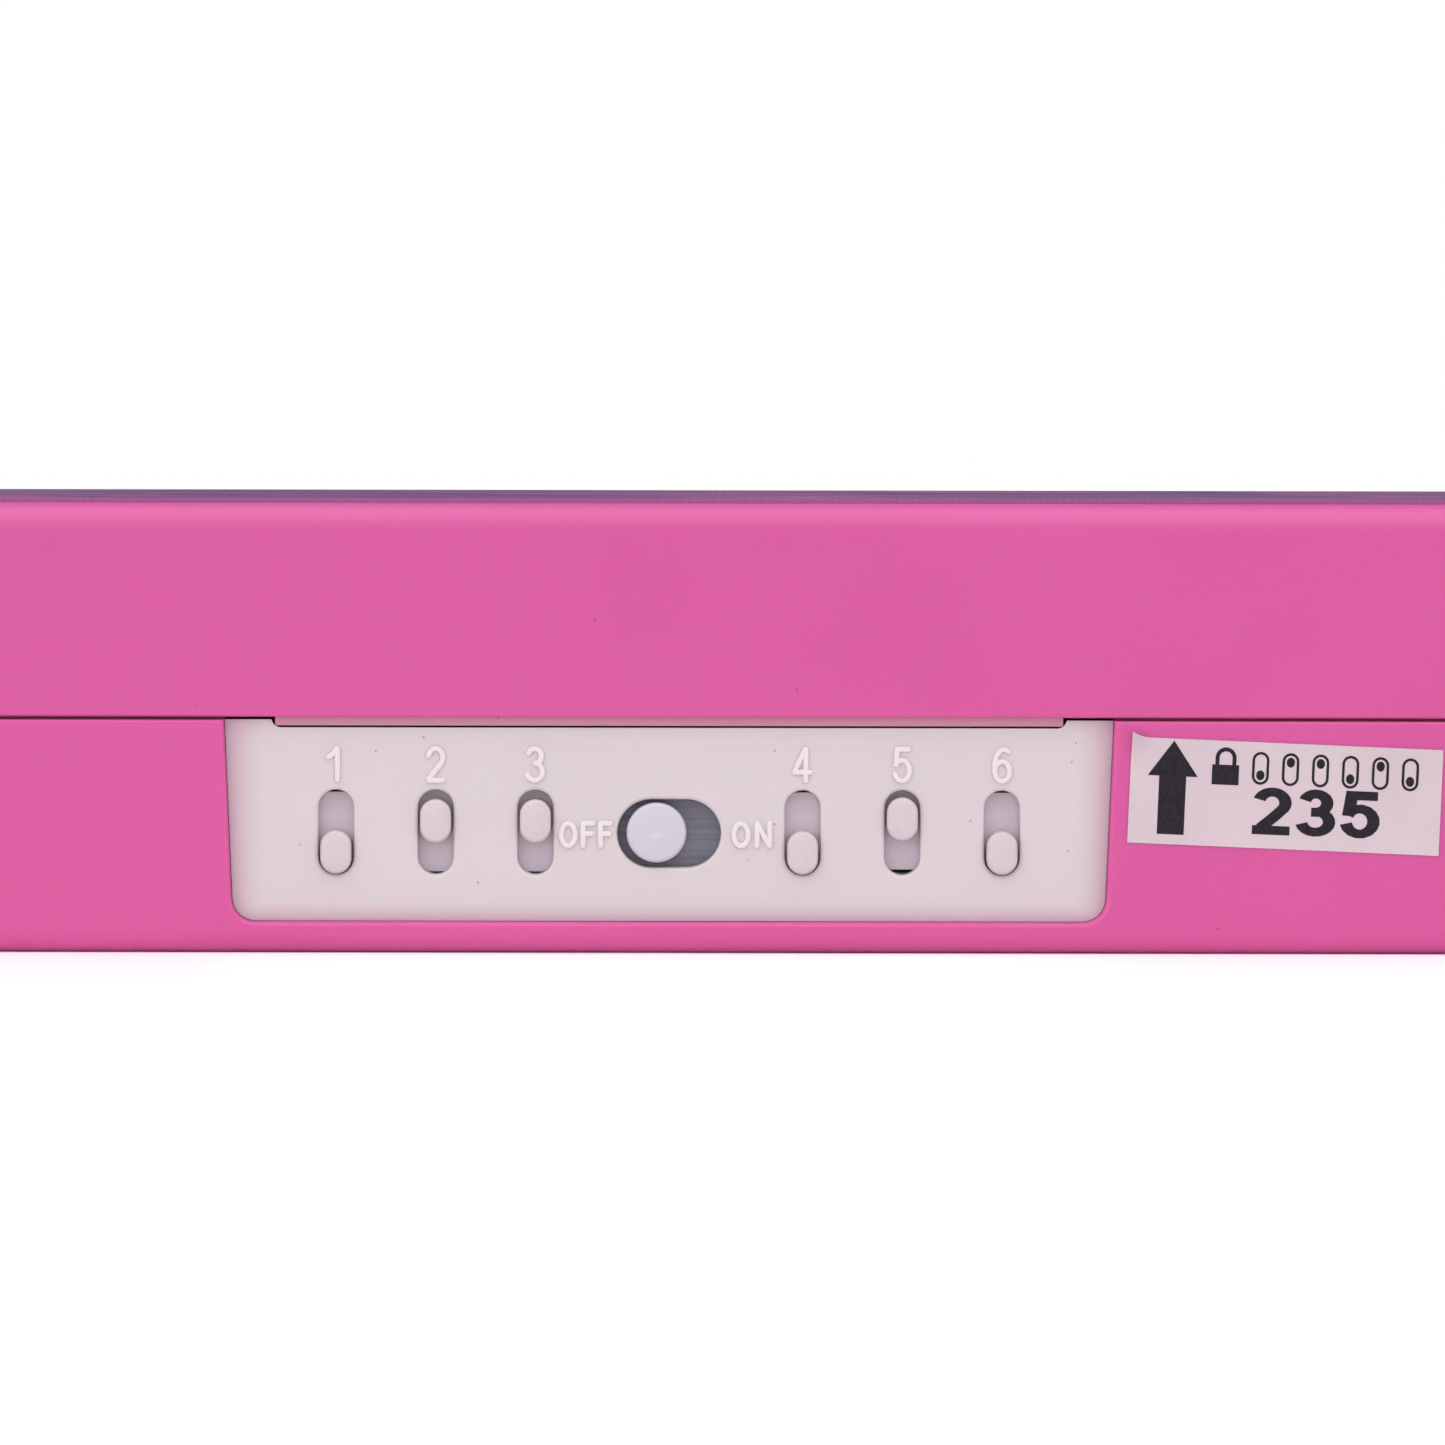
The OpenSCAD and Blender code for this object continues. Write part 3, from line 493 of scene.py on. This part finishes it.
slate_acetal, mm = start_finish("moulded_slate_acetal")
rub_stretch = add_node(slate_acetal, "ShaderNodeMapping", {"Vector": mm, "Scale": (1 / 14, 1 / 0.4, 1 / 0.4)})
rub = add_node(slate_acetal, "ShaderNodeTexNoise", {"Vector": rub_stretch.outputs[0], "Scale": 1.0,
                                                    "Detail": 3.0})
tone = add_node(slate_acetal, "ShaderNodeValToRGB", {0: rub.outputs["Fac"]})
tone.color_ramp.elements[0].position = 0.3
tone.color_ramp.elements[0].color = from_hex("696874")
tone.color_ramp.elements[1].position = 0.75
tone.color_ramp.elements[1].color = from_hex("7A7986")
wax = add_node(slate_acetal, "ShaderNodeMapRange", {0: rub.outputs["Fac"], 1: 0.3, 2: 0.7, 3: 0.42,
                                                    4: 0.3})
bar_grain = add_node(slate_acetal, "ShaderNodeBump", {"Height": rub.outputs["Fac"], "Strength": 1.0,
                                                      "Distance": 0.000006})
bar_face = add_node(slate_acetal, "ShaderNodeBsdfPrincipled", {
    "Base Color": tone.outputs[0], "Roughness": wax.outputs[0], "Normal": bar_grain.outputs[0],
    "IOR": 1.48})
add_node(slate_acetal, "ShaderNodeOutputMaterial", {"Surface": bar_face.outputs[0]})
dress(nodes["latch_bar"], slate_acetal)

# --- Latch button ----------------------------------------------------------------------
# A domed round button in a slightly bluer white ABS, its stem pressed into the latch bar.
# Its top is nearly polished from use.

button_abs, button_face = moulded_plastic("polished_button_abs", body="BBB7C3", shade="B7B3BF",
                                          burnt="77747E", rough=0.26, grain_mm=0.3,
                                          grain_depth=0.0015, specks=0.02, handled=0.1)[:2]
button_face.inputs["Subsurface Weight"].default_value = 0.1
button_face.inputs["Subsurface Radius"].default_value = (0.8, 0.8, 1.0)
button_face.inputs["Subsurface Scale"].default_value = 0.0008
dress(nodes["latch_button"], button_abs)

# --- Detent comb -----------------------------------------------------------------------
# A strip of blued spring steel, stamped and bent, whose six tines click the sliders into
# their two places. It is darker than plain steel, with a faint straw tint.

spring_steel = drawn_steel("blued_spring_steel", body="8E8A88", rough=0.3, grain=0.2, along=2)
dress(nodes["detent_comb"], spring_steel)

# --- Back cover ------------------------------------------------------------------------
# A white polystyrene moulding that closes the lock inside the box and carries the latch bar.
# It is out of sight, so the tool was left with a coarser grain than the face.

cover_hips = moulded_plastic("coarse_white_polystyrene", body="CBC2C5", shade="C5BABF", burnt="7C6C70",
                             rough=0.46, grain_mm=0.6, grain_depth=0.006, specks=0.3, handled=0.4)[0]
dress(nodes["lock_back_cover"], cover_hips)

# --- Screws ----------------------------------------------------------------------------
# Pan-head self-tapping screws, four through the back cover and three through the strike
# plate: cold-headed steel with a thin bright zinc plating that has a soft, patchy sheen.

zinc_plate, mm = start_finish("zinc_plated_steel")
bloom = add_node(zinc_plate, "ShaderNodeTexNoise", {"Vector": mm, "Scale": 1 / 0.8, "Detail": 4.0})
zinc = add_node(zinc_plate, "ShaderNodeValToRGB", {0: bloom.outputs["Fac"]})
zinc.color_ramp.elements[0].position = 0.35
zinc.color_ramp.elements[0].color = from_hex("A9AAAE")
zinc.color_ramp.elements[1].position = 0.7
zinc.color_ramp.elements[1].color = from_hex("CBCACB")
patchy = add_node(zinc_plate, "ShaderNodeMapRange", {0: bloom.outputs["Fac"], 1: 0.3, 2: 0.7,
                                                     3: 0.24, 4: 0.42})
pitted = add_node(zinc_plate, "ShaderNodeBump", {"Height": bloom.outputs["Fac"], "Strength": 1.0,
                                                 "Distance": 0.000008})
zinc_face = add_node(zinc_plate, "ShaderNodeBsdfPrincipled", {
    "Base Color": zinc.outputs[0], "Metallic": 1.0, "Roughness": patchy.outputs[0],
    "Normal": pitted.outputs[0]})
add_node(zinc_plate, "ShaderNodeOutputMaterial", {"Surface": zinc_face.outputs[0]})
dress(nodes["lock_cover_screws"], zinc_plate)
dress(nodes["strike_screws"], zinc_plate)

# --- Strike plate ----------------------------------------------------------------------
# The lid's half of the lock: two hooked feet on a shelf, screwed up into the lid. It is white
# polystyrene; its blush colour is painted light, standing in for the pink glow that the shells
# throw on its lip in the gap. Only its front lip shows when shut.

pink_bounce_painted_hips = moulded_plastic("white_polystyrene_painted_pink_bounce", body="C0859D", shade="BB8098", burnt="7A3A52",
                             rough=0.42, grain_mm=0.8, grain_depth=0.008, specks=0.3, handled=0.4)[0]
dress(nodes["strike_plate"], pink_bounce_painted_hips)

# --- Code label ------------------------------------------------------------------------
# A small paper sticker, coated and printed black, put on a little askew by hand. Its upper
# left corner has come unstuck, and it follows the front with a faint wave.

label_low, label_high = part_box("code_label")
label_w = 31.2
label_h = 10.6
label_tilt = math.radians(-2.4)
label_thick = 0.1
label_x = (label_low.x + label_high.x) * 500
label_z = (label_low.z + label_high.z) * 500
stuck_y = label_high.y * 1000


def looseness(u, v):
    """1 at the corner that has come unstuck, 0 from 2.2 mm away."""
    return max(0.0, 1 - math.dist((u, v), (-label_w / 2, label_h / 2)) / 2.2)


def on_label(u, v, out):
    """A point on the stuck label: across, up and out from its middle, in mm."""
    loose = looseness(u, v)
    lift = 0.012 * (1 + math.sin(u * 0.7 + v * 0.4)) + 1.1 * loose ** 1.6
    v += 0.55 * loose ** 2.5
    x = label_x + u * math.cos(label_tilt) - v * math.sin(label_tilt)
    z = label_z + u * math.sin(label_tilt) + v * math.cos(label_tilt)
    return (x * 0.001, (stuck_y - lift - out) * 0.001, z * 0.001)


coated_paper, mm = start_finish("coated_label_paper")
fibre = add_node(coated_paper, "ShaderNodeTexNoise", {"Vector": mm, "Scale": 1 / 0.25, "Detail": 5.0,
                                                      "Roughness": 0.7})
stain = add_node(coated_paper, "ShaderNodeTexNoise", {"Vector": mm, "Scale": 1 / 8, "Detail": 2.0})
sheet_tone = add_node(coated_paper, "ShaderNodeValToRGB", {0: stain.outputs["Fac"]})
sheet_tone.color_ramp.elements[0].position = 0.3
sheet_tone.color_ramp.elements[0].color = from_hex("BCABB2")
sheet_tone.color_ramp.elements[1].position = 0.75
sheet_tone.color_ramp.elements[1].color = from_hex("C2B1B8")
paper_grain = add_node(coated_paper, "ShaderNodeBump", {"Height": fibre.outputs["Fac"],
                                                        "Strength": 1.0, "Distance": 0.000008})
paper_gloss = add_node(coated_paper, "ShaderNodeMapRange", {0: fibre.outputs["Fac"], 1: 0.3, 2: 0.7,
                                                            3: 0.5, 4: 0.62})
paper_face = add_node(coated_paper, "ShaderNodeBsdfPrincipled", {
    "Base Color": sheet_tone.outputs[0], "Roughness": paper_gloss.outputs[0],
    "Normal": paper_grain.outputs[0], "IOR": 1.5, "Specular IOR Level": 0.35})
add_node(coated_paper, "ShaderNodeOutputMaterial", {"Surface": paper_face.outputs[0]})

paper = bmesh.new()
across_n = 52
up_n = 18
sheets = []  # the underside and the top, each a grid of points
for out in (0.0, label_thick):
    sheets.append([[paper.verts.new(on_label(label_w * (i / across_n - 0.5), label_h * (j / up_n - 0.5), out))
                    for j in range(up_n + 1)] for i in range(across_n + 1)])
for back in sheets:
    for i in range(across_n):
        for j in range(up_n):
            paper.faces.new((back[i][j], back[i + 1][j], back[i + 1][j + 1], back[i][j + 1]))
under, over = sheets
rim = [(i, 0) for i in range(across_n)] + [(across_n, j) for j in range(up_n)]
rim += [(i, up_n) for i in range(across_n, 0, -1)] + [(0, j) for j in range(up_n, 0, -1)]
for (i, j), (k, m) in zip(rim, rim[1:] + rim[:1]):
    paper.faces.new((under[i][j], under[k][m], over[k][m], over[i][j]))
label = finish_piece("label_paper", paper, "base", coated_paper, True)
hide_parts("code_label")

# --- Label print -----------------------------------------------------------------------
# Black screen ink on the label: an arrow for the way the sliders move, a padlock with six
# small slots that show the code, and the code's three digits in heavy type.

screen_ink, mm = start_finish("black_screen_ink")
mottle = add_node(screen_ink, "ShaderNodeTexNoise", {"Vector": mm, "Scale": 1 / 0.3, "Detail": 3.0})
ink_tone = add_node(screen_ink, "ShaderNodeValToRGB", {0: mottle.outputs["Fac"]})
ink_tone.color_ramp.elements[0].position = 0.3
ink_tone.color_ramp.elements[0].color = from_hex("17141A")
ink_tone.color_ramp.elements[1].position = 0.8
ink_tone.color_ramp.elements[1].color = from_hex("2A252C")
ink_gloss = add_node(screen_ink, "ShaderNodeMapRange", {0: mottle.outputs["Fac"], 1: 0.3, 2: 0.7,
                                                        3: 0.45, 4: 0.6})
ink_bump = add_node(screen_ink, "ShaderNodeBump", {"Height": mottle.outputs["Fac"], "Strength": 1.0,
                                                   "Distance": 0.000004})
ink_face = add_node(screen_ink, "ShaderNodeBsdfPrincipled", {
    "Base Color": ink_tone.outputs[0], "Roughness": ink_gloss.outputs[0], "Normal": ink_bump.outputs[0],
    "IOR": 1.5, "Specular IOR Level": 0.15})
add_node(screen_ink, "ShaderNodeOutputMaterial", {"Surface": ink_face.outputs[0]})

ink_low = label_thick - 0.01
ink_high = label_thick + 0.02


def ink_line(width):
    """The flat section of a printed line."""
    return [(width / 2, ink_high), (-width / 2, ink_high), (-width / 2, ink_low), (width / 2, ink_low)]


def ink_patch(mesh, outline):
    """A flat printed shape from its corners in order."""
    top = [mesh.verts.new(on_label(u, v, ink_high)) for u, v in outline]
    foot = [mesh.verts.new(on_label(u, v, ink_low)) for u, v in outline]
    mesh.faces.new(top)
    mesh.faces.new(list(reversed(foot)))
    for k in range(len(outline)):
        n = (k + 1) % len(outline)
        mesh.faces.new((top[k], foot[k], foot[n], top[n]))


print_mesh = bmesh.new()
arrow_u = -11.35
ink_patch(print_mesh, [(arrow_u, 5.1), (arrow_u - 2.5, 1.55), (arrow_u + 2.5, 1.55)])
ink_patch(print_mesh, [(arrow_u - 1.35, 1.57), (arrow_u - 1.35, -4.3), (arrow_u + 1.35, -4.3),
                       (arrow_u + 1.35, 1.57)])
# The padlock's body and shackle, then the six slots: two, three and five have their knob up.
padlock_u = -6.1
slot_left = -2.6
slot_step = 3.0
ink_patch(print_mesh, [(padlock_u - 1.35, 0.9), (padlock_u + 1.35, 0.9), (padlock_u + 1.35, 2.9),
                       (padlock_u - 1.35, 2.9)])
raise_stroke(print_mesh, [(padlock_u - 0.85, 2.8)] + sweep(padlock_u, 3.6, 0.85, 0.85, 180, 0)
             + [(padlock_u + 0.85, 2.8)], ink_line(0.4), on_label, False)
for k, up in enumerate((False, True, True, False, True, False)):
    u = slot_left + k * slot_step
    ends = sweep(u, 3.5, 0.72, 0.72, 180, 0, 10) + sweep(u, 1.9, 0.72, 0.72, 0, -180, 10)
    raise_stroke(print_mesh, ends + ends[:1], ink_line(0.26), on_label, False)
    dot = sweep(u, 3.4 if up else 2.0, 0.42, 0.5, 0, 360, 18)
    ink_patch(print_mesh, dot[:-1])
# The heavy digits are drawn 1.4 times too tall and then pressed flat, so their level strokes
# come out thinner than their upright ones, as in printed type.
heavy = {
    "2": [sweep(0.5, 0.72, 0.5, 0.28, 165, -28) + [(0.6, 0.36), (0.1, 0.06)], [(-0.226, 0.0), (1.2, 0.0)]],
    "3": [sweep(0.47, 0.76, 0.43, 0.24, 165, -90), [(0.3, 0.52), (0.55, 0.52)],
          sweep(0.47, 0.27, 0.53, 0.27, 90, -168)],
    "5": [[(0.02, 1.0), (1.12, 1.0)], [(0.16, 1.11), (0.03, 0.46)], sweep(0.47, 0.33, 0.53, 0.33, 152, -168)],
}


def on_digits(u, v, out):
    """A point on the label, pressed to 0.72 of its height."""
    return on_label(u, v * 0.72, out)


digit_left = -2.6
digit_step = 4.45
digit_foot = -4.8
digit_w = 2.65
digit_h = 5.33
for k, letter in enumerate("235"):
    for line in heavy[letter]:
        moved = [(digit_left + k * digit_step + x * digit_w, digit_foot + z * digit_h) for x, z in line]
        raise_stroke(print_mesh, moved, ink_line(1.25), on_digits, False)
label_print = finish_piece("label_print", print_mesh, "base", screen_ink, False)

# --- Floor, light and camera -----------------------------------------------------------
# A pale seamless floor in a white tent: one broad soft light above the front, a weaker one
# overhead, and two low ones at the sides that pick out the rounded edges.

floor_data = bpy.data.meshes.new("floor")
floor_size = 12
floor_data.from_pydata([(-floor_size, -floor_size, 0), (floor_size, -floor_size, 0),
                        (floor_size, floor_size, 0), (-floor_size, floor_size, 0)], [], [(0, 1, 2, 3)])
floor = bpy.data.objects.new("floor", floor_data)
bpy.context.scene.collection.objects.link(floor)
pale_floor, mm = start_finish("pale_floor")
cloudy = add_node(pale_floor, "ShaderNodeTexNoise", {"Vector": mm, "Scale": 1 / 300})
floor_tone = add_node(pale_floor, "ShaderNodeMapRange", {0: cloudy.outputs["Fac"], 1: 0.3, 2: 0.7,
                                                         3: 0.6, 4: 0.68})
floor_face = add_node(pale_floor, "ShaderNodeBsdfPrincipled", {
    "Base Color": (0.92, 0.92, 0.92, 1), "Roughness": floor_tone.outputs[0], "Specular IOR Level": 0.2})
add_node(pale_floor, "ShaderNodeOutputMaterial", {"Surface": floor_face.outputs[0]})
dress(floor, pale_floor)

tent = bpy.data.worlds.new("white_tent")
bpy.context.scene.world = tent
tent.use_nodes = True
tent.node_tree.nodes.clear()
ray = add_node(tent, "ShaderNodeLightPath")
# A dark card stands behind the object, low down, so that the glossy top doesn't wash out.
toward = add_node(tent, "ShaderNodeTexCoord")
split = add_node(tent, "ShaderNodeSeparateXYZ", {0: toward.outputs["Generated"]})
card = add_node(tent, "ShaderNodeMapRange", {0: split.outputs[1], 1: 0.8, 2: 0.94, 3: 0.5, 4: 0.13},
                interpolation_type="SMOOTHSTEP")
cloth = add_node(tent, "ShaderNodeBackground", {0: (0.97, 0.98, 1.0, 1.0), 1: card.outputs[0]})
seen = add_node(tent, "ShaderNodeBackground", {0: (1.0, 1.0, 1.0, 1.0), 1: 1.0})
either = add_node(tent, "ShaderNodeMixShader", {0: ray.outputs["Is Camera Ray"], 1: cloth.outputs[0],
                                                2: seen.outputs[0]})
add_node(tent, "ShaderNodeOutputWorld", {"Surface": either.outputs[0]})


def softbox(name, toward, spread, power):
    """A large diffuser, far enough off to light evenly: toward is where it stands, spread its width
    in degrees as the object sees it, power in watts per square metre."""
    lamp = bpy.data.lights.new(name, "SUN")
    lamp.angle = math.radians(spread)
    lamp.energy = power
    box = bpy.data.objects.new(name, lamp)
    box.rotation_euler = Vector(toward).to_track_quat("Z", "Y").to_euler()
    bpy.context.scene.collection.objects.link(box)


softbox("key_softbox", (-0.4, -0.95, 1.15), 95, 1.57)
softbox("top_softbox", (0.1, -0.25, 1.0), 80, 0.95)
softbox("right_softbox", (1.0, -0.8, 0.3), 36, 0.5)
softbox("left_softbox", (-1.0, -0.8, 0.2), 36, 0.35)

camera_data = bpy.data.cameras.new("camera")
camera_data.sensor_width = 36
camera_data.lens = 174.4
camera = bpy.data.objects.new("camera", camera_data)
bpy.context.scene.collection.objects.link(camera)
front = label_high.y
camera.location = (0.00535, front - 0.7, 0.0504)
aim = Vector((0.00535, front, 0.0232)) - camera.location
camera.rotation_euler = aim.to_track_quat("-Z", "Y").to_euler()
camera.rotation_euler.rotate_axis("Z", math.radians(0.1))
bpy.context.scene.camera = camera
bpy.context.scene.view_settings.view_transform = "Standard"
